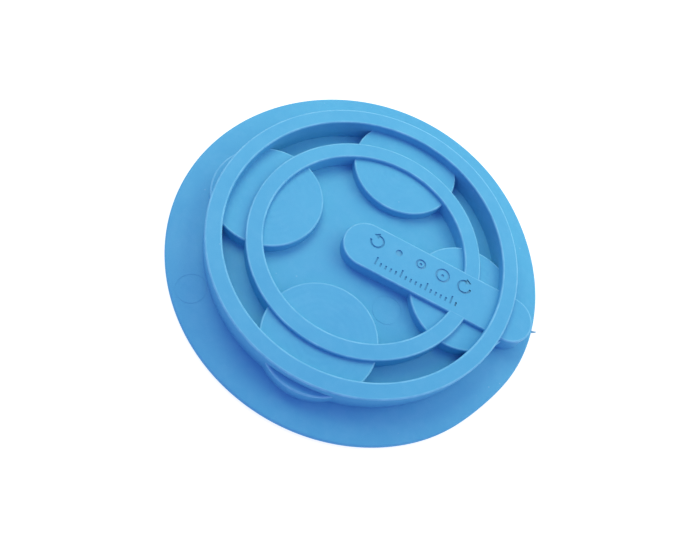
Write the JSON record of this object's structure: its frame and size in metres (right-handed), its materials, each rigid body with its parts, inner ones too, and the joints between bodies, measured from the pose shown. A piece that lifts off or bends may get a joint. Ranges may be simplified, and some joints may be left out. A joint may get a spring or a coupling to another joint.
{
  "type": "watch case opening friction disc",
  "caption": "Soft domed friction disc with raised grip rings, round grip pads and a marking bar, pressed on a watch's case back to turn it by hand.",
  "frame": {"origin": "centre of the flat underside that is pressed on the case back", "axes": "+Z out of the underside towards the palm, +X along the marking bar to its outer end"},
  "size_m": [0.0708, 0.07, 0.0062],
  "materials": {
    "blue_elastomer": "soft matte sky-blue moulded elastomer, slightly tacky"
  },
  "bodies": {
    "root": {"friction_disc": "blue_elastomer", "grip_pad_1": "blue_elastomer", "grip_pad_2": "blue_elastomer", "grip_pad_3": "blue_elastomer", "grip_pad_4": "blue_elastomer", "marking_bar": "blue_elastomer", "inner_ring": "blue_elastomer", "outer_ring": "blue_elastomer", "gate_stub": "blue_elastomer"}
  },
  "joints": []
}
